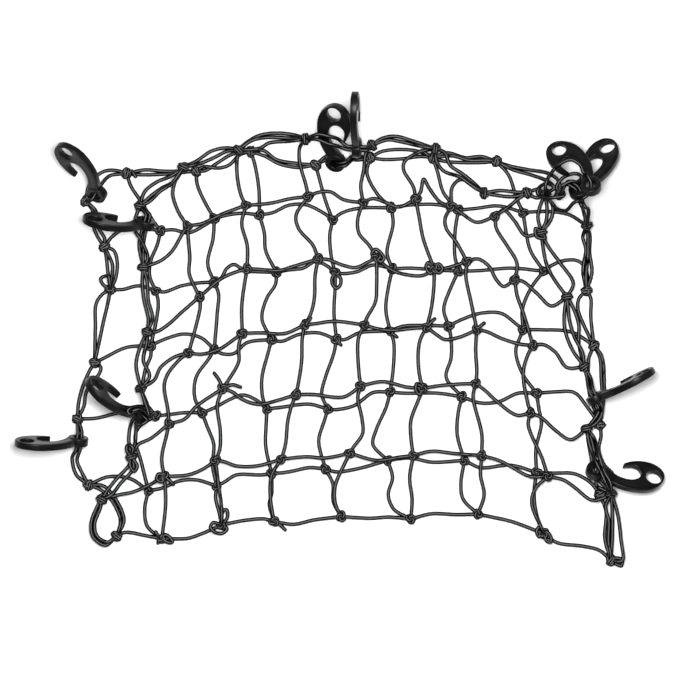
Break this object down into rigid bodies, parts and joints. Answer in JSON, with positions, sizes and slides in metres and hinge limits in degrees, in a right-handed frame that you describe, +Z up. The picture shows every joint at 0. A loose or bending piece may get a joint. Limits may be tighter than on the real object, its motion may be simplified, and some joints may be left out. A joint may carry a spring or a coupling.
{
  "type": "cargo net",
  "caption": "Knotted elastic cargo net with moulded hooks along its edge cord, folded once and laid flat, to tie a load to a rack.",
  "frame": {"origin": "on the surface under the middle of the folded net's box", "axes": "+X along the fold, to the right; +Y away from the fold, toward the hooks of the far edge; +Z up"},
  "size_m": [0.5311, 0.3838, 0.0622],
  "materials": {
    "elastic_cord": "matt braided cover over rubber",
    "hook_plastic": "satin moulded plastic"
  },
  "bodies": {
    "root": {"net": "elastic_cord", "hook_b_left": "hook_plastic", "hook_t_left": "hook_plastic", "hook_t_corner_l": "hook_plastic", "hook_b_corner_l": "hook_plastic", "hook_b_middle": "hook_plastic", "hook_t_middle": "hook_plastic", "hook_t_corner_r": "hook_plastic", "hook_b_corner_r": "hook_plastic", "hook_b_right": "hook_plastic", "hook_t_right": "hook_plastic"}
  },
  "joints": []
}
